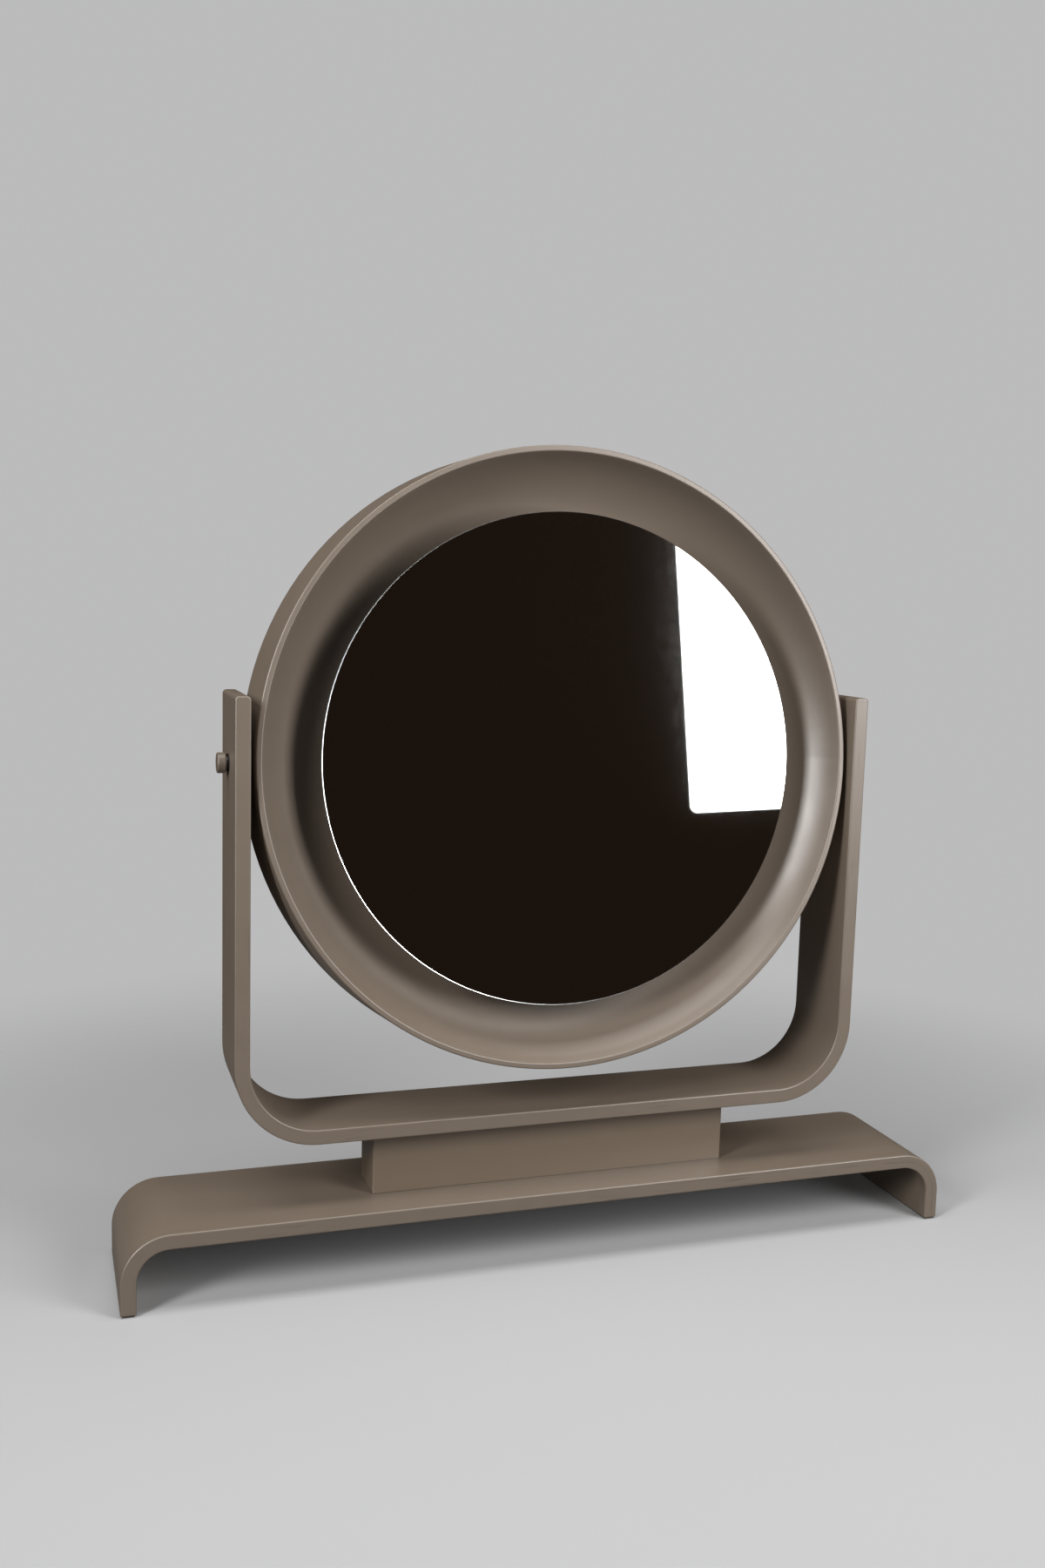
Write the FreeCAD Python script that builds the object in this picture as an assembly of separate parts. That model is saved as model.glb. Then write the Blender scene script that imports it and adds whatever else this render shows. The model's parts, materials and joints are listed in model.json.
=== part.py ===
import FreeCAD, Part
import math
import os

from FreeCAD import Vector

# Table mirror: a round glass in a deep drum that tilts between the arms of a bent-wood yoke.
# Millimetres. +X is to the right seen from the front, +Y to the back, +Z up.
# The origin is on the table top, under the middle of the base.

# Bent wood strips of the base and the yoke
wood_thickness = 12.0
strip_edge_round = 1.2

# Base bridge and the felts under its feet
base_length = 710.0
base_depth = 116.0
base_height = 62.5
base_bend_radius = 37.0
foot_end_round = 1.0
felt_thickness = 1.5
felt_margin = 1.5

# Riser block between base and yoke
riser_length = 310.0
riser_depth = 44.0
riser_height = 52.0
riser_edge_round = 1.8

# Yoke
yoke_depth = 77.0
yoke_bend_radius = 67.0
arm_above_pivot = 54.0
arm_end_round = 3.0
arm_clearance = 1.0
bar_gap = 29.6

# Mirror glass
glass_diameter = 400.0
glass_thickness = 4.0
glass_arris = 0.4

# Drum around the glass; depths are measured from the lip towards the back
channel_width = 47.0
channel_depth = 46.0
glass_setback = 7.0
lip_width = 4.5
lip_round = 1.3
wall_flare = 3.5
bowl_radius = 72.0
toe_thickness = 4.0
toe_gap = 2.0
rim_back_round = 2.0
rest_tilt = 4.0

# Back board, plinth and pads behind the glass
board_thickness = 12.0
board_recess = 4.0
rim_wall = 9.0
plinth_inset = 12.0
plinth_wall = 20.0
carrier_inset = 6.0
carrier_thickness = 6.0
pad_diameter = 36.0
pad_thickness = 1.0
pad_circle_radius = 140.0
pad_count = 8

# Pivot hardware, the same on both sides
stud_diameter = 6.0
bush_diameter = 10.0
bush_flange_diameter = 16.0
bush_flange_thickness = 1.0
insert_diameter = 9.0
insert_length = 8.0
spot_face_depth = 0.8
spot_face_margin = 1.0
friction_washer_diameter = 16.0
knob_diameter = 16.0
knob_length = 6.5
knob_edge_round = 0.9
hub_diameter = 10.0
hub_length = 1.2
knob_cap = 1.8
knob_washer_diameter = 14.0
knob_washer_thickness = 1.0

# Screws and dowels
riser_screw_diameter = 5.0
riser_screw_head = 9.5
riser_screw_bite = 33.0
riser_screw_count = 4
riser_screw_end_margin = 29.0
plinth_screw_diameter = 4.0
plinth_screw_head = 7.8
plinth_screw_bite = 18.0
plinth_screw_count = 8
recess_width = 1.2
recess_depth = 1.5
dowel_diameter = 8.0
dowel_bite = 22.0
dowel_cover = 4.0
dowel_chamfer = 0.8

# Clearances
running_gap = 0.3
running_fit = 0.05
glue_fit = 0.1
hole_run_out = 1.0

# Places that follow from the sizes above
riser_bottom = base_height
yoke_bottom = riser_bottom + riser_height
bar_top = yoke_bottom + wood_thickness
glass_radius = glass_diameter / 2
mouth_radius = glass_radius + channel_width
lip_radius = mouth_radius + lip_width
back_radius = lip_radius + wall_flare
drum_depth = channel_depth + board_thickness + board_recess
pivot_setback = drum_depth / 2
sweep_radius = math.hypot(back_radius, drum_depth / 2)
pivot_height = bar_top + bar_gap + sweep_radius
arm_inside = back_radius + arm_clearance
arm_outside = arm_inside + wood_thickness
arm_top = pivot_height + arm_above_pivot
board_radius = back_radius - rim_wall
plinth_radius = glass_radius - plinth_inset
carrier_depth = glass_setback + glass_thickness + pad_thickness
plinth_depth = carrier_depth + carrier_thickness
plinth_screw_circle = plinth_radius - plinth_wall / 2
spot_face_x = lip_radius + wall_flare * pivot_setback / drum_depth - spot_face_depth
bush_flange_x = arm_inside - bush_flange_thickness
knob_washer_x = arm_outside + running_gap
hub_x = knob_washer_x + knob_washer_thickness
knob_x = hub_x + hub_length
knob_end_x = knob_x + knob_length
stud_end_x = knob_end_x - knob_cap

axis_x = Vector(1, 0, 0)
axis_y = Vector(0, 1, 0)
axis_z = Vector(0, 0, 1)
centre = Vector(0, 0, 0)


def x_cylinder(diameter, start, end):
    return Part.makeCylinder(diameter / 2, end - start, Vector(start, 0, 0), axis_x)


def z_cylinder(diameter, bottom, top, x=0.0, y=0.0):
    return Part.makeCylinder(diameter / 2, top - bottom, Vector(x, y, bottom), axis_z)


def edges_where(shape, test):
    return [edge for edge in shape.Edges if test(edge)]


def runs_along(edge, direction):
    span = edge.Vertexes[-1].Point - edge.Vertexes[0].Point
    return span.Length > 0 and abs(span.normalize().dot(direction)) > 0.999


def bent_strip(half_width, open_z, closed_z, depth, bend_radius, end_round):
    """A strip bent twice: two legs that end at open_z, joined by a flat whose outside is at closed_z."""
    up = math.copysign(1, open_z - closed_z)
    diagonal = math.sqrt(0.5)
    bend_z = closed_z + up * bend_radius

    def bend_points(side, radius):
        bend_x = side * (half_width - bend_radius)
        leg = Vector(bend_x + side * radius, 0, bend_z)
        middle = Vector(bend_x + side * radius * diagonal, 0, bend_z - up * radius * diagonal)
        flat = Vector(bend_x, 0, bend_z - up * radius)
        return leg, middle, flat

    def leg_end(side, radius):
        return Vector(side * (half_width - bend_radius + radius), 0, open_z)

    def half_outline(radius):
        left_leg, left_middle, left_flat = bend_points(-1, radius)
        right_leg, right_middle, right_flat = bend_points(1, radius)
        return [
            Part.LineSegment(leg_end(-1, radius), left_leg),
            Part.Arc(left_leg, left_middle, left_flat),
            Part.LineSegment(left_flat, right_flat),
            Part.Arc(right_flat, right_middle, right_leg),
            Part.LineSegment(right_leg, leg_end(1, radius)),
        ]

    inner_radius = bend_radius - wood_thickness
    outline = half_outline(bend_radius) + half_outline(inner_radius)
    outline.append(Part.LineSegment(leg_end(-1, bend_radius), leg_end(-1, inner_radius)))
    outline.append(Part.LineSegment(leg_end(1, bend_radius), leg_end(1, inner_radius)))
    wire = Part.Wire(Part.__sortEdges__([curve.toShape() for curve in outline]))
    strip = Part.Face(wire).extrude(axis_y * depth)
    strip.translate(axis_y * (-depth / 2))

    leg_ends = edges_where(
        strip, lambda e: runs_along(e, axis_y) and abs(e.CenterOfMass.z - open_z) < end_round)
    strip = strip.makeFillet(end_round, leg_ends)
    rims = edges_where(strip, lambda e: abs(abs(e.CenterOfMass.y) - depth / 2) < strip_edge_round / 2)
    return strip.makeFillet(strip_edge_round, rims)


def countersunk_screw(diameter, head_diameter, length):
    """Head flush at z = 0, point at z = length, with a cross recess."""
    head_height = (head_diameter - diameter) / 2
    screw = Part.makeCone(head_diameter / 2, diameter / 2, head_height)
    screw = screw.fuse(z_cylinder(diameter, head_height, length - diameter))
    point = Part.makeCone(diameter / 2, recess_width / 2, diameter, Vector(0, 0, length - diameter))
    screw = screw.fuse(point)
    for long_x, long_y in ((diameter, recess_width), (recess_width, diameter)):
        slot = Part.makeBox(long_x, long_y, 2 * recess_depth, Vector(-long_x / 2, -long_y / 2, -recess_depth))
        screw = screw.cut(slot)
    return screw.removeSplitter()


def screw_hole(diameter, head_diameter, length):
    """Room for a countersunk screw, with its head flush at z = 0."""
    bore = diameter + 2 * running_fit
    mouth = head_diameter + 2 * running_fit
    sink = Part.makeCone(mouth / 2, bore / 2, (mouth - bore) / 2)
    return sink.fuse(z_cylinder(bore, 0, length + running_gap))


def spread(count, length):
    """Places along X, evenly spread over a length about the middle."""
    pitch = length / (count - 1)
    return [pitch * i - length / 2 for i in range(count)]


def around_y(shape, count, turn=0.0):
    """Copies of a shape spread evenly about the drum's axis."""
    copies = []
    for i in range(count):
        copy = shape.copy()
        copy.rotate(centre, axis_y, turn + 360.0 * i / count)
        copies.append(copy)
    return copies


def drum_disc(radius, front, back):
    return Part.makeCylinder(radius, back - front, Vector(0, front - pivot_setback, 0), axis_y)


def tilted(shape):
    """From the drum's own frame, with the pivot at its origin, to its rest place on the stand."""
    shape = shape.copy()
    shape.rotate(centre, axis_x, -rest_tilt)
    shape.translate(axis_z * pivot_height)
    return shape


def at_pivot(shape, side):
    """A piece turned about the pivot axis, made for the right side, put on either side."""
    shape = shape.copy()
    if side == "left":
        shape.rotate(centre, axis_z, 180)
    shape.translate(axis_z * pivot_height)
    return shape


screw_length = wood_thickness + riser_screw_bite
screw_span = riser_length - 2 * riser_screw_end_margin
screw_places = spread(riser_screw_count, screw_span)
dowel_places = [(a + b) / 2 for a, b in zip(screw_places, screw_places[1:])]
base_underside = base_height - wood_thickness
dowel_bottom = yoke_bottom - dowel_bite
dowel_top = bar_top - dowel_cover


def riser_screws():
    screw = countersunk_screw(riser_screw_diameter, riser_screw_head, screw_length)
    return [screw.translated(Vector(x, 0, base_underside)) for x in screw_places]


def riser_screw_holes():
    hole = screw_hole(riser_screw_diameter, riser_screw_head, screw_length)
    return [hole.translated(Vector(x, 0, base_underside)) for x in screw_places]


def yoke_dowels():
    dowels = []
    for x in dowel_places:
        dowel = z_cylinder(dowel_diameter, dowel_bottom, dowel_top, x)
        rims = edges_where(dowel, lambda e: isinstance(e.Curve, Part.Circle))
        dowels.append(dowel.makeChamfer(dowel_chamfer, rims))
    return dowels


def dowel_holes():
    bore = dowel_diameter + 2 * running_fit
    return [z_cylinder(bore, dowel_bottom - hole_run_out, dowel_top, x) for x in dowel_places]


def base_bridge():
    strip = bent_strip(
        base_length / 2, felt_thickness, base_height, base_depth, base_bend_radius, foot_end_round)
    return strip.cut(Part.makeCompound(riser_screw_holes()))


def foot_felt(side):
    width = wood_thickness - 2 * felt_margin
    length = base_depth - 2 * felt_margin
    middle = side * (base_length - wood_thickness) / 2
    return Part.makeBox(width, length, felt_thickness, Vector(middle - width / 2, -length / 2, 0))


def riser_block():
    block = Part.makeBox(
        riser_length, riser_depth, riser_height, Vector(-riser_length / 2, -riser_depth / 2, riser_bottom))
    corners = edges_where(block, lambda e: runs_along(e, axis_z))
    block = block.makeFillet(riser_edge_round, corners)
    return block.cut(Part.makeCompound(riser_screw_holes() + dowel_holes()))


def yoke():
    strip = bent_strip(arm_outside, arm_top, yoke_bottom, yoke_depth, yoke_bend_radius, arm_end_round)
    reach = arm_outside + hole_run_out
    bores = x_cylinder(bush_diameter + 2 * running_fit, -reach, reach)
    bores.translate(axis_z * pivot_height)
    return strip.cut(Part.makeCompound([bores] + dowel_holes()))


def pivot_bush():
    bush = x_cylinder(bush_diameter, bush_flange_x, arm_outside)
    bush = bush.fuse(x_cylinder(bush_flange_diameter, bush_flange_x, arm_inside))
    bore = x_cylinder(
        stud_diameter + 2 * running_fit, bush_flange_x - hole_run_out, arm_outside + hole_run_out)
    return bush.cut(bore).removeSplitter()


def drum_ring():
    """Ring with a hollow-rounded front, from a thin toe beside the plinth out to a rounded lip."""
    hollow_depth = channel_depth - toe_thickness - bowl_radius
    hollow_centre = mouth_radius - math.sqrt(bowl_radius ** 2 - hollow_depth ** 2)
    toe_radius = plinth_radius + toe_gap
    toe_turn = math.asin((toe_radius - hollow_centre) / bowl_radius)
    lip_turn = math.acos((lip_round - hollow_depth) / (bowl_radius + lip_round))
    lip_centre = hollow_centre + (bowl_radius + lip_round) * math.sin(lip_turn)

    def place(radius, depth):
        return Vector(radius, depth - pivot_setback, 0)

    def on_hollow(turn):
        radius = hollow_centre + bowl_radius * math.sin(turn)
        return place(radius, hollow_depth + bowl_radius * math.cos(turn))

    def on_lip(turn):
        radius = lip_centre - lip_round * math.sin(turn)
        return place(radius, lip_round - lip_round * math.cos(turn))

    corners = [
        on_lip(0),
        place(lip_radius, 0),
        place(back_radius, drum_depth),
        place(board_radius, drum_depth),
        place(board_radius, channel_depth),
        place(toe_radius, channel_depth),
        on_hollow(toe_turn),
    ]
    outline = [Part.LineSegment(start, end) for start, end in zip(corners, corners[1:])]
    outline.append(Part.Arc(on_hollow(toe_turn), on_hollow((toe_turn + lip_turn) / 2), on_hollow(lip_turn)))
    outline.append(Part.Arc(on_lip(lip_turn), on_lip(lip_turn / 2), on_lip(0)))
    face = Part.Face(Part.Wire([curve.toShape() for curve in outline]))
    ring = face.revolve(centre, axis_y, 360)

    def outer_edges(shape, depth, radius):
        return edges_where(shape, lambda e: (
            abs(e.CenterOfMass.y + pivot_setback - depth) < lip_round
            and abs(e.Curve.Radius - radius) < lip_round))

    ring = ring.makeFillet(lip_round, outer_edges(ring, 0, lip_radius))
    ring = ring.makeFillet(rim_back_round, outer_edges(ring, drum_depth, back_radius))
    spot = x_cylinder(
        friction_washer_diameter + 2 * spot_face_margin, spot_face_x, arm_inside)
    socket = x_cylinder(
        insert_diameter + 2 * running_fit, spot_face_x - insert_length, arm_inside)
    for tool in (spot, socket):
        ring = ring.cut(tool)
        ring = ring.cut(tool.rotated(centre, axis_z, 180))
    return ring


def plinth_screw_set(make_shape):
    """One shape per screw, head at the back board's back face, pointing to the front."""
    shape = make_shape(plinth_screw_diameter, plinth_screw_head, board_thickness + plinth_screw_bite)
    shape.rotate(centre, axis_x, 90)
    back = channel_depth + board_thickness - pivot_setback
    shape.translate(Vector(plinth_screw_circle, back, 0))
    half_step = 180.0 / plinth_screw_count
    return around_y(shape, plinth_screw_count, half_step)


def back_board():
    board = drum_disc(board_radius - glue_fit, channel_depth, channel_depth + board_thickness)
    return board.cut(Part.makeCompound(plinth_screw_set(screw_hole)))


def plinth_ring():
    ring = drum_disc(plinth_radius, plinth_depth, channel_depth)
    ring = ring.cut(drum_disc(plinth_radius - plinth_wall, plinth_depth, channel_depth))
    return ring.cut(Part.makeCompound(plinth_screw_set(screw_hole)))


def carrier_board():
    return drum_disc(glass_radius - carrier_inset, carrier_depth, plinth_depth)


def glue_pads():
    pad = Part.makeCylinder(
        pad_diameter / 2, pad_thickness,
        Vector(pad_circle_radius, carrier_depth - pad_thickness - pivot_setback, 0), axis_y)
    return around_y(pad, pad_count)


def mirror_glass():
    disc = drum_disc(glass_radius, glass_setback, glass_setback + glass_thickness)
    rims = edges_where(disc, lambda e: isinstance(e.Curve, Part.Circle))
    return disc.makeChamfer(glass_arris, rims)


def thread_insert():
    inner = spot_face_x - insert_length
    insert = x_cylinder(insert_diameter, inner, spot_face_x)
    return insert.cut(x_cylinder(stud_diameter + 2 * running_fit, inner, spot_face_x))


def pivot_stud():
    return x_cylinder(stud_diameter, spot_face_x - insert_length, stud_end_x)


def friction_washer():
    end = bush_flange_x - running_gap
    washer = x_cylinder(friction_washer_diameter, spot_face_x, end)
    return washer.cut(x_cylinder(stud_diameter + 2 * running_fit, spot_face_x, end))


def knob_washer():
    washer = x_cylinder(knob_washer_diameter, knob_washer_x, hub_x)
    return washer.cut(x_cylinder(stud_diameter + 2 * running_fit, knob_washer_x, hub_x))


def clamp_knob():
    head = x_cylinder(knob_diameter, knob_x, knob_end_x)
    rims = edges_where(head, lambda e: isinstance(e.Curve, Part.Circle))
    head = head.makeFillet(knob_edge_round, rims)
    knob = head.fuse(x_cylinder(hub_diameter, hub_x, knob_x))
    bore = x_cylinder(stud_diameter + 2 * running_fit, hub_x, stud_end_x + running_gap)
    return knob.cut(bore).removeSplitter()


def write(node, shape):
    shape.exportStep("parts/" + node + ".step")


os.makedirs("parts", exist_ok=True)

write("base_bridge", base_bridge())
write("foot_felt_left", foot_felt(-1))
write("foot_felt_right", foot_felt(1))
write("riser_block", riser_block())
write("riser_screws", Part.makeCompound(riser_screws()))
write("yoke", yoke())
write("yoke_dowels", Part.makeCompound(yoke_dowels()))

drum_pieces = {
    "drum_ring": drum_ring(),
    "back_board": back_board(),
    "plinth_ring": plinth_ring(),
    "plinth_screws": Part.makeCompound(plinth_screw_set(countersunk_screw)),
    "carrier_board": carrier_board(),
    "glue_pads": Part.makeCompound(glue_pads()),
    "mirror_glass": mirror_glass(),
}
for node, shape in drum_pieces.items():
    write(node, tilted(shape))

pivot_pieces = {
    "pivot_bush": pivot_bush(),
    "thread_insert": thread_insert(),
    "pivot_stud": pivot_stud(),
    "friction_washer": friction_washer(),
    "knob_washer": knob_washer(),
    "clamp_knob": clamp_knob(),
}
for node, shape in pivot_pieces.items():
    for side in ("left", "right"):
        write(node + "_" + side, at_pivot(shape, side))

print("pivot height", round(pivot_height, 3), "yoke width", 2 * arm_outside, "arm top", round(arm_top, 3))
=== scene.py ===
import json
import math

import bpy
import numpy as np
from mathutils import Matrix, Vector


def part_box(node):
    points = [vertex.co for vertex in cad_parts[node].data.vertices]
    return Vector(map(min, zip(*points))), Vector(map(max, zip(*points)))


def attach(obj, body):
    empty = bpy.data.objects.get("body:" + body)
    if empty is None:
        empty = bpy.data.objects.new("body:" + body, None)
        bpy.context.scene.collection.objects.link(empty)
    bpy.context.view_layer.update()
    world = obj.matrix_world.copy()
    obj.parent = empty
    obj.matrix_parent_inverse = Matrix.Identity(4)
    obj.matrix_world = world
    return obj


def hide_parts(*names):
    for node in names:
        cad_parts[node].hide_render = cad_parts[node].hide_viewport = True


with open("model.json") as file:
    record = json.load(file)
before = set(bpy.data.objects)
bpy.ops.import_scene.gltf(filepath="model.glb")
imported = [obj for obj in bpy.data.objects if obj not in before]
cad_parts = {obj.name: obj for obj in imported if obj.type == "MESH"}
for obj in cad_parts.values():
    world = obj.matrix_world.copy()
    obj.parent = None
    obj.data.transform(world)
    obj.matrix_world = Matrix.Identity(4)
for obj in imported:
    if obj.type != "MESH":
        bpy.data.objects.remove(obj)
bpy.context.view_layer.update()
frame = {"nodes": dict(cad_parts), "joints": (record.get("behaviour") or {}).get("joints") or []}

# Table mirror: satin taupe bent wood, a deep turned drum and a silvered glass with a bright arris.
# Metres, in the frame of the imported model: +X right, +Y back, +Z up, the table top at z = 0.

cadNodes = frame["nodes"]
scene = bpy.context.scene
scene.view_settings.view_transform = "Standard"
print("frame loaded:", len(cadNodes), "nodes")


# Small tools for node trees

noiseMiddle = 0.5


def addNode(tree, kind, **settings):
    node = tree.nodes.new(kind)
    for key, value in settings.items():
        setattr(node, key, value)
    return node


def feed(tree, socket, value):
    # a socket as value makes a link, anything else is set on the socket itself
    if isinstance(value, bpy.types.NodeSocket):
        tree.links.new(value, socket)
    else:
        socket.default_value = value


def feedAll(tree, node, values):
    for socket, value in zip(node.inputs, values):
        feed(tree, socket, value)


def calc(tree, operation, *values):
    node = addNode(tree, "ShaderNodeMath", operation=operation)
    feedAll(tree, node, values)
    return node.outputs["Value"]


def vectorCalc(tree, operation, *values):
    # a length comes back as a number, anything else as a vector
    node = addNode(tree, "ShaderNodeVectorMath", operation=operation)
    feedAll(tree, node, values)
    return node.outputs["Value" if operation == "LENGTH" else "Vector"]


def spread(tree, value, fromRange, toRange=(0.0, 1.0), way="LINEAR"):
    # one range of values laid over another, held at both ends
    node = addNode(tree, "ShaderNodeMapRange", clamp=True, interpolation_type=way)
    names = ("Value", "From Min", "From Max", "To Min", "To Max")
    for name, number in zip(names, (value, *fromRange, *toRange)):
        feed(tree, node.inputs[name], number)
    return node.outputs["Result"]


def swung(tree, value, middle, swing, base):
    # the base plus the swing times how far the value is from its middle
    return calc(tree, "MULTIPLY_ADD", calc(tree, "SUBTRACT", value, middle), swing, base)


def objectPoint(tree):
    return addNode(tree, "ShaderNodeTexCoord").outputs["Object"]


def noise(tree, point, scale=1.0, detail=2.0):
    node = addNode(tree, "ShaderNodeTexNoise")
    feed(tree, node.inputs["Vector"], point)
    node.inputs["Scale"].default_value = scale
    node.inputs["Detail"].default_value = detail
    return node.outputs["Fac"]


def drawnNoise(tree, point, stretch, detail=2.0):
    # each axis of the point is multiplied by its own factor, so that the noise on it is drawn out
    return noise(tree, vectorCalc(tree, "MULTIPLY", point, stretch), detail=detail)


def joined(tree, x, y, z):
    node = addNode(tree, "ShaderNodeCombineXYZ")
    feedAll(tree, node, (x, y, z))
    return node.outputs["Vector"]


def parted(tree, point):
    node = addNode(tree, "ShaderNodeSeparateXYZ")
    feedAll(tree, node, (point,))
    return node.outputs


def tinted(tree, color, level):
    # the colour with its brightness multiplied by the level
    node = addNode(tree, "ShaderNodeHueSaturation")
    feed(tree, node.inputs["Value"], level)
    feed(tree, node.inputs["Color"], color)
    return node.outputs["Color"]


def mixShaders(tree, factor, first, second):
    node = addNode(tree, "ShaderNodeMixShader")
    feedAll(tree, node, (factor, first, second))
    return node.outputs["Shader"]


def newGroup(name, inputs, outputs):
    # inputs and outputs are {name: socket kind}; gives the tree and the sockets of its two ends
    tree = bpy.data.node_groups.new(name, "ShaderNodeTree")
    for way, sockets in (("INPUT", inputs), ("OUTPUT", outputs)):
        for label, kind in sockets.items():
            tree.interface.new_socket(label, in_out=way, socket_type="NodeSocket" + kind)
    return tree, addNode(tree, "NodeGroupInput").outputs, addNode(tree, "NodeGroupOutput").inputs


def placeGroup(tree, group, **values):
    node = addNode(tree, "ShaderNodeGroup", node_tree=group)
    for label, value in values.items():
        feed(tree, node.inputs[label], value)
    return node.outputs


# Shared effects

filmSettings = {
    "cloud": {"scale": 7.0, "detail": 3.0},
    "drift": {"scale": 46.0, "detail": 3.0},
    "peel": {"scale": 820.0, "detail": 1.0},
    "cloudShare": 1.5,
    "driftShare": 0.7,
    "mixMiddle": 1.1,
    "sheenSwing": 0.12,
}


def makeLacquerFilm():
    # Sprayed film: broad clouds and smaller drifts change the tone and the sheen a little,
    # and a fine peel of about a millimetre is the height.
    tree, given, out = newGroup("lacquerFilm",
                                {"tone": "Color", "mottle": "Float", "satin": "Float"},
                                {"color": "Color", "sheen": "Float", "height": "Float"})
    point = objectPoint(tree)
    drift = noise(tree, point, **filmSettings["drift"])
    mixed = calc(tree, "MULTIPLY_ADD", noise(tree, point, **filmSettings["cloud"]),
                 filmSettings["cloudShare"],
                 calc(tree, "MULTIPLY", drift, filmSettings["driftShare"]))
    level = swung(tree, mixed, filmSettings["mixMiddle"], given["mottle"], 1.0)
    feed(tree, out["color"], tinted(tree, given["tone"], level))
    sheen = swung(tree, drift, noiseMiddle, filmSettings["sheenSwing"], given["satin"])
    feed(tree, out["sheen"], sheen)
    feed(tree, out["height"], noise(tree, point, **filmSettings["peel"]))
    return tree


def makeStripDepth():
    # How deep a point lies under the outer face of a bent strip. The outer face is a rounded
    # rectangle in x and z, so the depth is the bend radius less the distance to its core.
    tree, given, out = newGroup(
        "stripDepth",
        {"halfWidth": "Float", "outerLevel": "Float", "bend": "Float", "way": "Float"},
        {"depth": "Float"})
    axes = parted(tree, objectPoint(tree))
    past = calc(tree, "SUBTRACT", calc(tree, "ABSOLUTE", axes["X"]), given["halfWidth"])
    overX = calc(tree, "ADD", past, given["bend"])
    overZ = swung(tree, axes["Z"], given["outerLevel"], given["way"], given["bend"])
    corner = joined(tree, calc(tree, "MAXIMUM", overX, 0.0), calc(tree, "MAXIMUM", overZ, 0.0), 0.0)
    inside = calc(tree, "MINIMUM", calc(tree, "MAXIMUM", overX, overZ), 0.0)
    whole = calc(tree, "ADD", vectorCalc(tree, "LENGTH", corner), inside)
    feed(tree, out["depth"], calc(tree, "SUBTRACT", given["bend"], whole))
    return tree


veneerSettings = {
    "warpScale": 24.0,
    "warpDepth": 0.006,
    "strokeStretch": (26.0, 2.0, 640.0),
    "strokeCut": (0.56, 0.70),
    "patch": {"scale": 9.0, "detail": 1.0},
    "patchCut": (0.46, 0.62),
    "outerFace": (0.0005, 0.0015),
    "innerFace": (0.0105, 0.0115),
    "poreStretch": (12.0, 420.0, 12.0),
    "poreDetail": 3.0,
    "poreCut": (0.60, 0.78),
    "poreShare": 0.35,
}


def makeVeneerLines():
    # Veneer edges that show through the film: noise drawn out along the strip and tight across
    # its thickness, cut to thin strokes and broken into patches. Open pores run along the faces.
    tree, given, out = newGroup("veneerLines",
                                {"depth": "Float", "tone": "Color", "show": "Float"},
                                {"color": "Color", "height": "Float"})
    point = objectPoint(tree)
    axes = parted(tree, point)
    along = calc(tree, "ADD", axes["X"], axes["Z"])
    warp = calc(tree, "MULTIPLY_ADD", noise(tree, point, veneerSettings["warpScale"]),
                veneerSettings["warpDepth"], given["depth"])
    layered = drawnNoise(tree, joined(tree, along, axes["Y"], warp),
                         veneerSettings["strokeStretch"])
    stroke = spread(tree, layered, veneerSettings["strokeCut"])
    patch = spread(tree, noise(tree, point, **veneerSettings["patch"]), veneerSettings["patchCut"])
    # the strokes keep to the edges of the strip, between its two broad faces
    edgeOnly = calc(tree, "MULTIPLY", spread(tree, given["depth"], veneerSettings["outerFace"]),
                    spread(tree, given["depth"], veneerSettings["innerFace"], (1.0, 0.0)))
    line = calc(tree, "MULTIPLY", calc(tree, "MULTIPLY", stroke, patch), edgeOnly)
    grain = drawnNoise(tree, point, veneerSettings["poreStretch"], veneerSettings["poreDetail"])
    pore = spread(tree, grain, veneerSettings["poreCut"])
    marks = calc(tree, "MULTIPLY_ADD", pore, veneerSettings["poreShare"], line)
    shade = calc(tree, "SUBTRACT", 1.0, calc(tree, "MULTIPLY", marks, given["show"]))
    feed(tree, out["color"], tinted(tree, given["tone"], shade))
    feed(tree, out["height"], calc(tree, "SUBTRACT", 1.0, marks))
    return tree


ringSettings = {"stretch": (330.0, 330.0, 3.0), "detail": 3.0}


def makeTurnedRings():
    # Faint rings left by turning: noise over the radius and the depth, slow round the axis.
    # The point is centred and turned by a Mapping node before it comes in.
    tree, given, out = newGroup("turnedRings",
                                {"point": "Vector", "tone": "Color", "show": "Float"},
                                {"color": "Color", "height": "Float"})
    axes = parted(tree, given["point"])
    radius = vectorCalc(tree, "LENGTH", joined(tree, axes["X"], axes["Z"], 0.0))
    around = calc(tree, "ADD", axes["X"], axes["Z"])
    ring = drawnNoise(tree, joined(tree, radius, axes["Y"], around), **ringSettings)
    shade = swung(tree, ring, noiseMiddle, given["show"], 1.0)
    feed(tree, out["color"], tinted(tree, given["tone"], shade))
    feed(tree, out["height"], ring)
    return tree


fleckSettings = {"longWays": (0.2, 1.0, 1.3), "crossWays": (1.2, 0.25, 0.9), "detail": 3.0,
                 "middle": 0.58}


def makeFibreFleck():
    # Short fibres and flecks: two noises drawn out along different axes, the lighter one wins.
    tree, given, out = newGroup("fibreFleck",
                                {"tone": "Color", "scale": "Float", "show": "Float"},
                                {"color": "Color", "height": "Float"})
    scaled = vectorCalc(tree, "MULTIPLY", objectPoint(tree), given["scale"])
    layers = [drawnNoise(tree, scaled, fleckSettings[key], fleckSettings["detail"])
              for key in ("longWays", "crossWays")]
    fleck = calc(tree, "MAXIMUM", *layers)
    shade = swung(tree, fleck, fleckSettings["middle"], given["show"], 1.0)
    feed(tree, out["color"], tinted(tree, given["tone"], shade))
    feed(tree, out["height"], fleck)
    return tree


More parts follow.
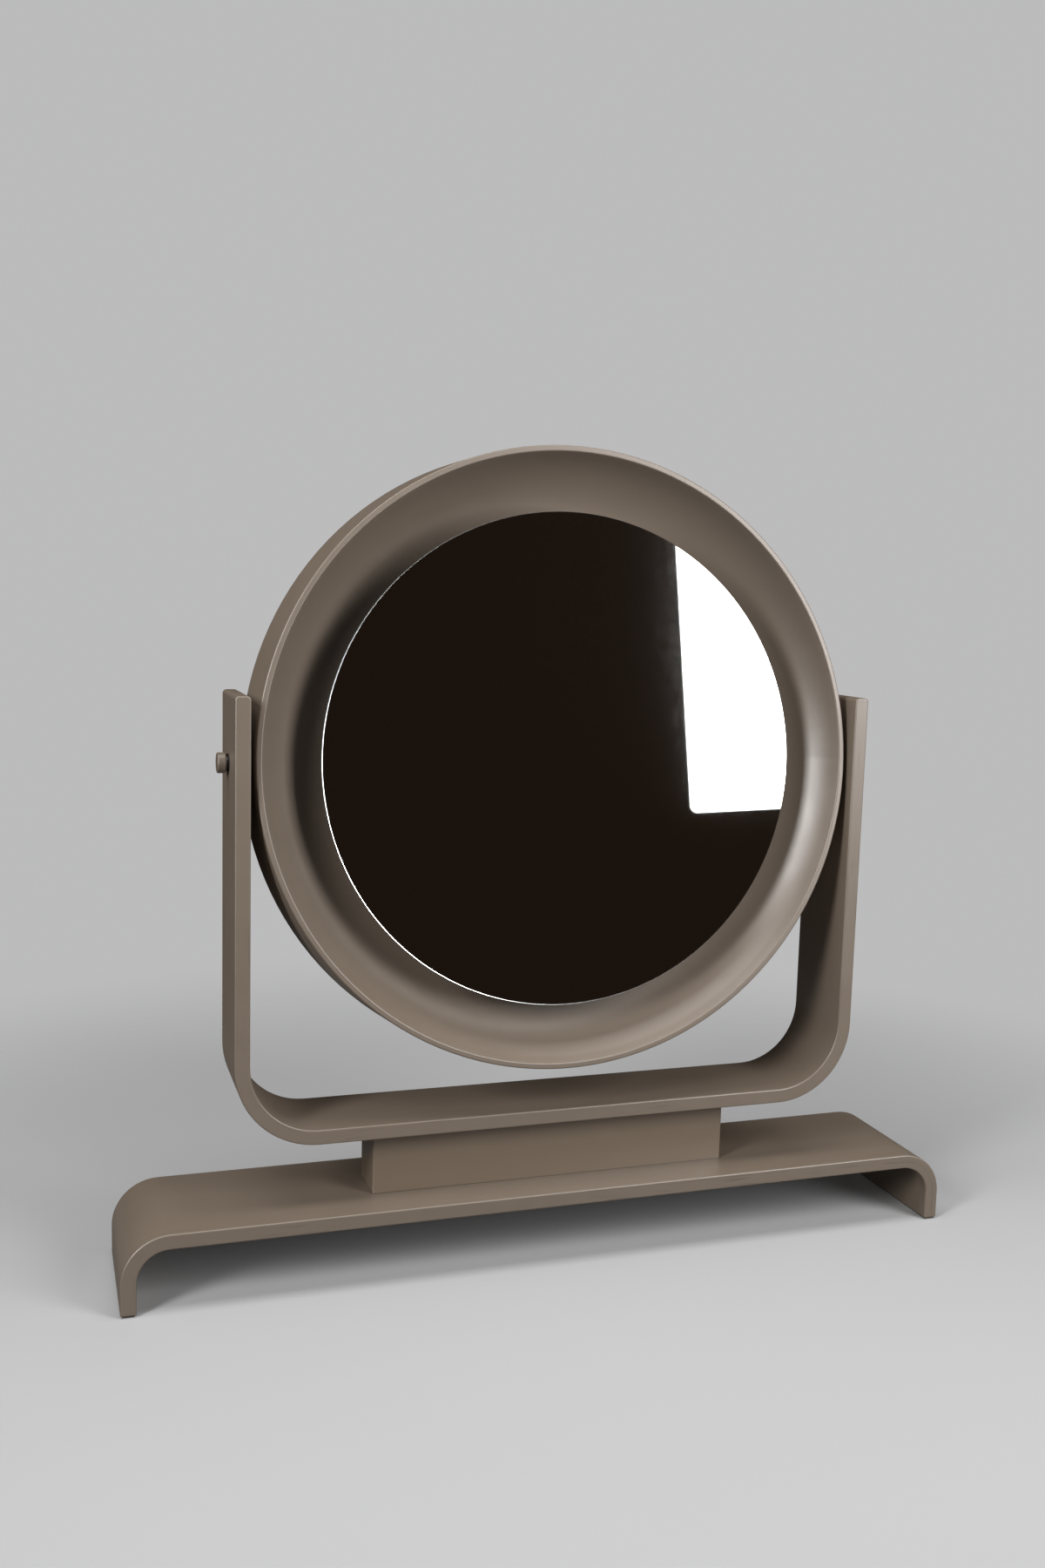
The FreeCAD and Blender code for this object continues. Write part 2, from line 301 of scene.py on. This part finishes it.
rubSettings = {"scratchStretch": (260.0, 2600.0, 2600.0), "sheenSwing": 0.22,
               "spot": {"scale": 420.0, "detail": 3.0}, "toneSwing": 0.35}


def makeMetalRub():
    # Handled plated metal: fine scratches drawn out along x and cloudy dull spots.
    tree, given, out = newGroup("metalRub", {"tone": "Color", "dull": "Float"},
                                {"color": "Color", "sheen": "Float"})
    point = objectPoint(tree)
    scratch = drawnNoise(tree, point, rubSettings["scratchStretch"])
    sheen = swung(tree, scratch, noiseMiddle, rubSettings["sheenSwing"], given["dull"])
    feed(tree, out["sheen"], sheen)
    spot = noise(tree, point, **rubSettings["spot"])
    shade = swung(tree, spot, noiseMiddle, rubSettings["toneSwing"], 1.0)
    feed(tree, out["color"], tinted(tree, given["tone"], shade))
    return tree


lacquerFilm = makeLacquerFilm()
stripDepth = makeStripDepth()
veneerLines = makeVeneerLines()
turnedRings = makeTurnedRings()
fibreFleck = makeFibreFleck()
metalRub = makeMetalRub()
print("shared effects built")


# Finishes

def newFinish(name):
    material = bpy.data.materials.new(name)
    material.use_nodes = True
    tree = material.node_tree
    return material, tree, tree.nodes["Principled BSDF"]


def bumped(tree, shader, height, depth, strength):
    bump = addNode(tree, "ShaderNodeBump")
    bump.inputs["Strength"].default_value = strength
    bump.inputs["Distance"].default_value = depth
    feed(tree, bump.inputs["Height"], height)
    feed(tree, shader.inputs["Normal"], bump.outputs["Normal"])


lacquer = {
    "tone": (0.205, 0.160, 0.122, 1),
    # the riser block's own tone is warmer, and its extra darkness is painted shade under the yoke
    # bar
    "blockToneAndShade": (0.181, 0.135, 0.094, 1),
    "satin": 0.41,
    "index": 1.62,
    "gloss": 0.72,
    "mottle": 0.05,
    "peelDepth": 0.00002,
    "bumpStrength": 0.5,
    "veneerShow": 0.22,
    "veneerHeight": 1.5,
    "blockVeneerShow": 0.11,
    "ringShow": 0.05,
    "ringHeight": 0.6,
    # height and darkness of the painted shade line at the foot of the riser block
    "jointShadeHeight": 0.0009,
    "jointShade": 0.25,
}


def lacquerBase(name, tone="tone"):
    material, tree, shader = newFinish(name)
    film = placeGroup(tree, lacquerFilm, tone=lacquer[tone], mottle=lacquer["mottle"],
                      satin=lacquer["satin"])
    feed(tree, shader.inputs["Roughness"], film["sheen"])
    shader.inputs["IOR"].default_value = lacquer["index"]
    shader.inputs["Specular IOR Level"].default_value = lacquer["gloss"]
    return material, tree, shader, film


def lacquerBump(tree, shader, height):
    bumped(tree, shader, height, lacquer["peelDepth"], lacquer["bumpStrength"])


def stripLacquer(name, node, way):
    # way is 1 where the strip's outer face is on top, and -1 where it is underneath
    low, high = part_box(node)
    material, tree, shader, film = lacquerBase(name)
    depth = placeGroup(tree, stripDepth, halfWidth=high.x, bend=bendRadius[node], way=way,
                       outerLevel=high.z if way > 0 else low.z)["depth"]
    veneer = placeGroup(tree, veneerLines, depth=depth, tone=film["color"],
                        show=lacquer["veneerShow"])
    feed(tree, shader.inputs["Base Color"], veneer["color"])
    lacquerBump(tree, shader, calc(tree, "MULTIPLY_ADD", veneer["height"],
                                   lacquer["veneerHeight"], film["height"]))
    return material


def turnedLacquer(name, centre, turn):
    material, tree, shader, film = lacquerBase(name)
    place = addNode(tree, "ShaderNodeMapping", vector_type="TEXTURE")
    place.inputs["Location"].default_value = centre
    place.inputs["Rotation"].default_value = turn
    feed(tree, place.inputs["Vector"], objectPoint(tree))
    rings = placeGroup(tree, turnedRings, point=place.outputs["Vector"], tone=film["color"],
                       show=lacquer["ringShow"])
    feed(tree, shader.inputs["Base Color"], rings["color"])
    lacquerBump(tree, shader, calc(tree, "MULTIPLY_ADD", rings["height"],
                                   lacquer["ringHeight"], film["height"]))
    return material


def blockLacquer(name, node):
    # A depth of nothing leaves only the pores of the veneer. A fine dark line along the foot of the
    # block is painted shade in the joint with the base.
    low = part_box(node)[0]
    # the block's tone is warmer than the strips', and darker as painted shade under the yoke bar
    material, tree, shader, film = lacquerBase(name, "blockToneAndShade")
    veneer = placeGroup(tree, veneerLines, depth=0.0, tone=film["color"],
                        show=lacquer["blockVeneerShow"])
    # painted shade: the colour darkens over the lowest part of the block, where it meets the base
    rise = calc(tree, "SUBTRACT", parted(tree, objectPoint(tree))["Z"], low.z)
    joint = spread(tree, rise, (0.0, lacquer["jointShadeHeight"]), (lacquer["jointShade"], 1.0))
    feed(tree, shader.inputs["Base Color"], tinted(tree, veneer["color"], joint))
    lacquerBump(tree, shader, film["height"])
    return material


fibreBumpStrength = 0.6
fibreKinds = {
    "stainedBirch": {"tone": (0.030, 0.024, 0.019, 1), "scale": 160.0, "show": 0.5,
                     "roughness": 0.6, "depth": 0.00005},
    "bareBeech": {"tone": (0.52, 0.36, 0.22, 1), "scale": 260.0, "show": 0.5,
                  "roughness": 0.6, "depth": 0.00005},
    "mountingPad": {"tone": (0.05, 0.05, 0.05, 1), "scale": 500.0, "show": 0.5,
                    "roughness": 0.8, "depth": 0.00008},
    "blackNylon": {"tone": (0.03, 0.03, 0.032, 1), "scale": 900.0, "show": 0.3,
                   "roughness": 0.42, "depth": 0.00001},
    "fibreWasher": {"tone": (0.09, 0.05, 0.04, 1), "scale": 700.0, "show": 0.6,
                    "roughness": 0.6, "depth": 0.00003},
    "pressedFelt": {"tone": (0.10, 0.09, 0.08, 1), "scale": 900.0, "show": 0.9,
                    "roughness": 0.95, "depth": 0.0002},
}


def fibreFinish(name, tone, scale, show, roughness, depth):
    material, tree, shader = newFinish(name)
    fibre = placeGroup(tree, fibreFleck, tone=tone, scale=scale, show=show)
    feed(tree, shader.inputs["Base Color"], fibre["color"])
    shader.inputs["Roughness"].default_value = roughness
    bumped(tree, shader, fibre["height"], depth, fibreBumpStrength)
    return material


metalKinds = {
    "zincPlate": {"tone": (0.55, 0.55, 0.57, 1), "dull": 0.34},
    "blackZinc": {"tone": (0.05, 0.05, 0.052, 1), "dull": 0.45},
    "turnedBrass": {"tone": (0.70, 0.52, 0.24, 1), "dull": 0.28},
}


def metalFinish(name, tone, dull):
    material, tree, shader = newFinish(name)
    rub = placeGroup(tree, metalRub, tone=tone, dull=dull)
    feed(tree, shader.inputs["Base Color"], rub["color"])
    feed(tree, shader.inputs["Roughness"], rub["sheen"])
    shader.inputs["Metallic"].default_value = 1.0
    return material


def bothSides(stem):
    return stem + "_left", stem + "_right"


# The strips' outer bend radii and the drum's lean at rest are those of the CAD model
bendRadius = {"base_bridge": 0.037, "yoke": 0.067}
restTilt = math.radians(4.0)
tiltJoint = next(j for j in frame["joints"] if j["name"] == "mirror_tilt")
pivot = Vector(tiltJoint["pos_m"])
drumTurn = (-restTilt, 0.0, 0.0)
knobTurn = (0.0, 0.0, math.radians(90.0))

wornBy = {
    "baseLacquer": ("base_bridge",),
    "yokeLacquer": ("yoke",),
    "riserLacquer": ("riser_block",),
    "drumLacquer": ("drum_ring", "back_board"),
    "knobLacquer": bothSides("clamp_knob"),
    "stainedBirch": ("plinth_ring", "carrier_board"),
    "bareBeech": ("yoke_dowels",),
    "mountingPad": ("glue_pads",),
    "blackNylon": bothSides("pivot_bush"),
    "fibreWasher": bothSides("friction_washer"),
    "pressedFelt": bothSides("foot_felt"),
    "zincPlate": ("riser_screws", "plinth_screws", *bothSides("pivot_stud")),
    "blackZinc": bothSides("knob_washer"),
    "turnedBrass": bothSides("thread_insert"),
}
finishes = [
    stripLacquer("baseLacquer", "base_bridge", 1.0),
    stripLacquer("yokeLacquer", "yoke", -1.0),
    blockLacquer("riserLacquer", "riser_block"),
    turnedLacquer("drumLacquer", pivot, drumTurn),
    turnedLacquer("knobLacquer", pivot, knobTurn),
]
finishes += [fibreFinish(kind, **settings) for kind, settings in fibreKinds.items()]
finishes += [metalFinish(kind, **settings) for kind, settings in metalKinds.items()]
for material in finishes:
    for node in wornBy[material.name]:
        cadNodes[node].data.materials[0] = material
print("finishes on", sum(len(nodes) for nodes in wornBy.values()), "nodes")


# Mirror glass

glass = {
    "thickness": 0.004,
    "frontArris": 0.0004,
    "backArris": 0.0007,
    "steps": 256,
    "silver": (0.90, 0.905, 0.895, 1),
    "clean": 0.012,
    "grain": {"scale": 900.0, "detail": 0.0},
    "grainCut": (0.50, 0.72),
    "grainCover": (0.08, 1.0),
    "haze": {"scale": 11.0, "detail": 3.0},
    "hazeCut": (0.35, 0.75),
    "hazeCover": (0.7, 1.1),
    "dustHeight": (0.35, 0.50),
    "dustCover": (0.1, 1.0),
    "dustSpread": 0.10,
    "prismLean": math.radians(17.0),
    "prismRoughness": 0.20,
    "rim": {"tone": (0.16, 0.19, 0.175, 1), "scale": 700.0, "show": 0.12},
    "rimRoughness": 0.35,
    "backing": {"tone": (0.035, 0.035, 0.037, 1), "scale": 600.0, "show": 0.4, "roughness": 0.5,
                "depth": 0.00001},
}


def silveredFace():
    # A clean silvered face under grains of dust, fewer towards the bottom. They are a rougher coat,
    # which shows only near the reflection of a bright lamp.
    material, tree, shader = newFinish("silveredFace")
    point = objectPoint(tree)
    grain = spread(tree, noise(tree, point, **glass["grain"]), glass["grainCut"],
                   glass["grainCover"])
    haze = spread(tree, noise(tree, point, **glass["haze"]), glass["hazeCut"], glass["hazeCover"])
    settled = spread(tree, parted(tree, point)["Z"], glass["dustHeight"], glass["dustCover"])
    dust = calc(tree, "MULTIPLY", grain, calc(tree, "MULTIPLY", haze, settled))
    feed(tree, shader.inputs["Coat Weight"], dust)
    shader.inputs["Base Color"].default_value = glass["silver"]
    shader.inputs["Metallic"].default_value = 1.0
    shader.inputs["Roughness"].default_value = glass["clean"]
    shader.inputs["Coat Roughness"].default_value = glass["dustSpread"]
    return material


def prismArris(centre, ahead):
    # Light that enters the polished arris comes back off the silver turned towards the centre, so
    # the arris mirrors along a normal that leans inwards: the face's normal plus the way inwards
    material, tree, shader = newFinish("prismArris")
    lean = glass["prismLean"]
    inward = vectorCalc(tree, "NORMALIZE", vectorCalc(tree, "SUBTRACT", centre, objectPoint(tree)))
    leaning = vectorCalc(tree, "MULTIPLY_ADD", inward, [math.sin(lean)] * 3, ahead * math.cos(lean))
    world = addNode(tree, "ShaderNodeVectorTransform", vector_type="NORMAL",
                    convert_from="OBJECT", convert_to="WORLD")
    feed(tree, world.inputs["Vector"], leaning)
    feed(tree, shader.inputs["Normal"], world.outputs["Vector"])
    shader.inputs["Base Color"].default_value = glass["silver"]
    shader.inputs["Metallic"].default_value = 1.0
    shader.inputs["Roughness"].default_value = glass["prismRoughness"]
    return material


def groundEdge():
    material, tree, shader = newFinish("groundEdge")
    fleck = placeGroup(tree, fibreFleck, **glass["rim"])
    feed(tree, shader.inputs["Base Color"], fleck["color"])
    shader.inputs["Roughness"].default_value = glass["rimRoughness"]
    return material


def newPiece(name, points, faces):
    mesh = bpy.data.meshes.new(name)
    mesh.from_pydata(points.tolist(), [], faces)
    mesh.update()
    piece = bpy.data.objects.new(name, mesh)
    scene.collection.objects.link(piece)
    return piece


def circleAngles(steps):
    return np.linspace(0.0, 2 * np.pi, steps, endpoint=False)


def lathePiece(name, profile, steps, axisPlace, axisTurn):
    # A profile of (radius, depth) rows carried round an axis. Row i, step k is the point
    # (radius cos, depth, radius sin), with both ends of the profile closed by a point on the axis.
    rows = np.asarray(profile, float)
    angle = circleAngles(steps)
    grid = np.stack([rows[:, :1] * np.cos(angle), np.repeat(rows[:, 1:], steps, 1),
                     rows[:, :1] * np.sin(angle)], axis=-1)
    poles = np.array([[0.0, rows[0, 1], 0.0], [0.0, rows[-1, 1], 0.0]])
    points = np.concatenate([grid.reshape(-1, 3), poles])
    points = points @ np.array(axisTurn.to_3x3()).T + np.array(axisPlace)
    step = np.arange(steps)
    after = (step + 1) % steps
    lower = np.arange(len(rows) - 1)[:, None] * steps
    quads = np.stack([lower + step, lower + after, lower + steps + after, lower + steps + step],
                     axis=-1).reshape(-1, 4)
    last = (len(rows) - 1) * steps
    front = np.stack([np.full(steps, last + steps), after, step], axis=-1)
    back = np.stack([np.full(steps, last + steps + 1), last + step, last + after], axis=-1)
    return newPiece(name, points, front.tolist() + quads.tolist() + back.tolist())


def makeMirrorGlass():
    low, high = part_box("mirror_glass")
    centre = (low + high) / 2
    radius = (high.x - low.x) / 2
    half, front, back = glass["thickness"] / 2, glass["frontArris"], glass["backArris"]
    profile = [(radius - front, -half), (radius, front - half), (radius, half - back),
               (radius - back, half)]
    turn = Matrix.Rotation(-restTilt, 4, "X")
    piece = lathePiece("mirror_plate", profile, glass["steps"], centre, turn)
    mesh = piece.data
    for material in (silveredFace(), prismArris(centre, turn @ Vector((0.0, -1.0, 0.0))),
                     groundEdge(), fibreFinish("backingPaint", **glass["backing"])):
        mesh.materials.append(material)
    # from the front: face, polished arris, ground rim, then paint on the back arris and the back
    rim, paint = 2, 3
    finish = np.repeat(np.array([0, 1, rim, paint, paint], np.int32), glass["steps"])
    mesh.polygons.foreach_set("material_index", finish)
    mesh.polygons.foreach_set("use_smooth", finish == rim)
    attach(piece, "mirror")
    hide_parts("mirror_glass")


makeMirrorGlass()
print("mirror glass made")


# Floor, surroundings, lamps and camera

stageSettings = {
    "floorTone": (0.50, 0.50, 0.505, 1),
    "floorRoughness": 0.9,
    "bounceTone": (0.12, 0.12, 0.12, 1),
    "paleTone": (0.50, 0.50, 0.505, 1),
    "darkTone": (0.0118, 0.0073, 0.0047, 1),
    "fillTone": (0.006, 0.006, 0.0062, 1),
    "fade": (0.40, 1.05),
    "floorRadius": 1.20,
    "floorSteps": 128,
}


def makeFloor():
    # A flat disc: points at equal angles on a circle. Pale where the camera sees it, it gives the
    # object only the bounce of a grey studio floor, and it fades out away from the middle.
    steps = stageSettings["floorSteps"]
    angle = circleAngles(steps)
    ring = stageSettings["floorRadius"] * np.stack(
        [np.cos(angle), np.sin(angle), np.zeros(steps)], axis=-1)
    floor = newPiece("floor", ring, [list(range(steps))])
    material, tree, shader = newFinish("paleFloor")
    shader.inputs["Base Color"].default_value = stageSettings["floorTone"]
    shader.inputs["Roughness"].default_value = stageSettings["floorRoughness"]
    bounce = addNode(tree, "ShaderNodeBsdfDiffuse")
    bounce.inputs["Color"].default_value = stageSettings["bounceTone"]
    path = addNode(tree, "ShaderNodeLightPath").outputs
    ground = mixShaders(tree, path["Is Camera Ray"], bounce.outputs["BSDF"],
                        shader.outputs["BSDF"])
    span = vectorCalc(tree, "LENGTH", objectPoint(tree))
    fade = spread(tree, span, stageSettings["fade"], way="SMOOTHSTEP")
    clear = addNode(tree, "ShaderNodeBsdfTransparent").outputs["BSDF"]
    surface = tree.nodes["Material Output"].inputs["Surface"]
    feed(tree, surface, mixShaders(tree, fade, ground, clear))
    floor.data.materials.append(material)


def makeSurroundings():
    # Pale to the camera, dark to mirrored rays as an unlit studio is, and an even fill otherwise
    world = bpy.data.worlds.new("studio")
    world.use_nodes = True
    tree = world.node_tree
    tree.nodes.clear()
    path = addNode(tree, "ShaderNodeLightPath").outputs
    shades = {}
    for key in ("paleTone", "darkTone", "fillTone"):
        shade = addNode(tree, "ShaderNodeBackground")
        shade.inputs["Color"].default_value = stageSettings[key]
        shades[key] = shade.outputs["Background"]
    mirrored = mixShaders(tree, path["Is Glossy Ray"], shades["fillTone"], shades["darkTone"])
    seen = mixShaders(tree, path["Is Camera Ray"], mirrored, shades["paleTone"])
    feed(tree, addNode(tree, "ShaderNodeOutputWorld").inputs["Surface"], seen)
    scene.world = world


# Azimuth is from straight in front towards the right; side, rise and roll shift and turn the panel
# in its own plane. A panel that isn't mirrored gives no reflection, and one that isn't scattered
# gives nothing else.
lamps = {
    "keyPanel": {"azimuth": 31.75, "elevation": 0.0, "distance": 1.600, "size": (0.717, 1.319),
                 "side": 0.227, "rise": 0.601, "roll": 2.2, "watts": 27.5, "corner": 0.015,
                 "softEdge": 0.005},
    "leftPanel": {"azimuth": -58.0, "elevation": 21.5, "distance": 2.2, "size": (0.45, 0.90),
                  "watts": 31.0},
    "upperLeftPanel": {"azimuth": -75.0, "elevation": 60.0, "distance": 2.2, "size": (0.8, 0.8),
                       "watts": 12.0},
    "topPanel": {"azimuth": 0.0, "elevation": 81.0, "distance": 2.2, "size": (1.9, 0.75),
                 "side": 0.25, "watts": 22.0},
    "backPanel": {"azimuth": 178.0, "elevation": 5.0, "distance": 2.2, "size": (1.4, 0.5),
                  "rise": -0.35, "watts": 12.0, "mirrored": False},
    "leftCard": {"azimuth": -58.0, "elevation": 2.0, "distance": 2.2, "size": (0.45, 0.50),
                 "watts": 16.0, "scattered": False},
}


def roundCorners(data, corner, softEdge):
    # The panel shines inside a rounded rectangle: where the distance past its four inner corner
    # points stays under the corner's radius, with a narrow soft edge
    data.use_nodes = True
    tree = data.node_tree
    place = parted(tree, addNode(tree, "ShaderNodeNewGeometry").outputs["Parametric"])
    past = []
    for axis, size in (("X", data.size), ("Y", data.size_y)):
        off = calc(tree, "ABSOLUTE", calc(tree, "SUBTRACT", place[axis], 0.5))
        over = calc(tree, "MULTIPLY_ADD", off, size, corner - size / 2)
        past.append(calc(tree, "MAXIMUM", over, 0.0))
    reach = vectorCalc(tree, "LENGTH", joined(tree, *past, 0.0))
    shine = spread(tree, reach, (corner - softEdge, corner), (1.0, 0.0))
    feed(tree, tree.nodes["Emission"].inputs["Strength"], shine)


def makeLamp(name, lamp):
    # The panel's plane faces the pivot: its axes are the side, the rise and the way out
    turn, tip = math.radians(lamp["azimuth"]), math.radians(lamp["elevation"])
    out = Vector((math.sin(turn) * math.cos(tip), -math.cos(turn) * math.cos(tip), math.sin(tip)))
    side = Vector((math.cos(turn), math.sin(turn), 0.0))
    rise = out.cross(side)
    roll = math.radians(lamp.get("roll", 0.0))
    across = side * math.cos(roll) + rise * math.sin(roll)
    up = rise * math.cos(roll) - side * math.sin(roll)
    place = pivot + out * lamp["distance"]
    place += side * lamp.get("side", 0.0) + rise * lamp.get("rise", 0.0)
    data = bpy.data.lights.new(name, "AREA")
    data.shape = "RECTANGLE"
    data.size, data.size_y = lamp["size"]
    data.energy = lamp["watts"]
    if "corner" in lamp:
        roundCorners(data, lamp["corner"], lamp["softEdge"])
    panel = bpy.data.objects.new(name, data)
    axes = Matrix((across, up, out)).transposed().to_4x4()
    panel.matrix_world = Matrix.Translation(place) @ axes
    panel.visible_camera = False
    panel.visible_glossy = lamp.get("mirrored", True)
    panel.visible_diffuse = lamp.get("scattered", True)
    scene.collection.objects.link(panel)


cameraSettings = {
    "place": (-0.4129, -1.1462, 0.5495),
    "yaw": 18.516,
    "pitch": 7.387,
    "roll": -1.561,
    "focalPixels": 1702.7,
    "frameHeight": 1800.0,
    "sensor": 36.0,
    "clip": (0.05, 50.0),
}


def makeCamera():
    yaw, pitch, roll = (math.radians(cameraSettings[key]) for key in ("yaw", "pitch", "roll"))
    ahead = Vector((math.sin(yaw) * math.cos(pitch), math.cos(yaw) * math.cos(pitch),
                    -math.sin(pitch)))
    level = Vector((math.cos(yaw), -math.sin(yaw), 0.0))
    down = ahead.cross(level)
    right = level * math.cos(roll) + down * math.sin(roll)
    up = level * math.sin(roll) - down * math.cos(roll)
    sensor = cameraSettings["sensor"]
    data = bpy.data.cameras.new("photoCamera")
    data.sensor_fit = "VERTICAL"
    data.sensor_width = data.sensor_height = sensor
    data.lens = cameraSettings["focalPixels"] / cameraSettings["frameHeight"] * sensor
    data.clip_start, data.clip_end = cameraSettings["clip"]
    camera = bpy.data.objects.new("photoCamera", data)
    axes = Matrix((right, up, -ahead)).transposed().to_4x4()
    camera.matrix_world = Matrix.Translation(cameraSettings["place"]) @ axes
    scene.collection.objects.link(camera)
    scene.camera = camera


makeFloor()
makeSurroundings()
for lampName, lampSettings in lamps.items():
    makeLamp(lampName, lampSettings)
makeCamera()
print("stage, lamps and camera set")
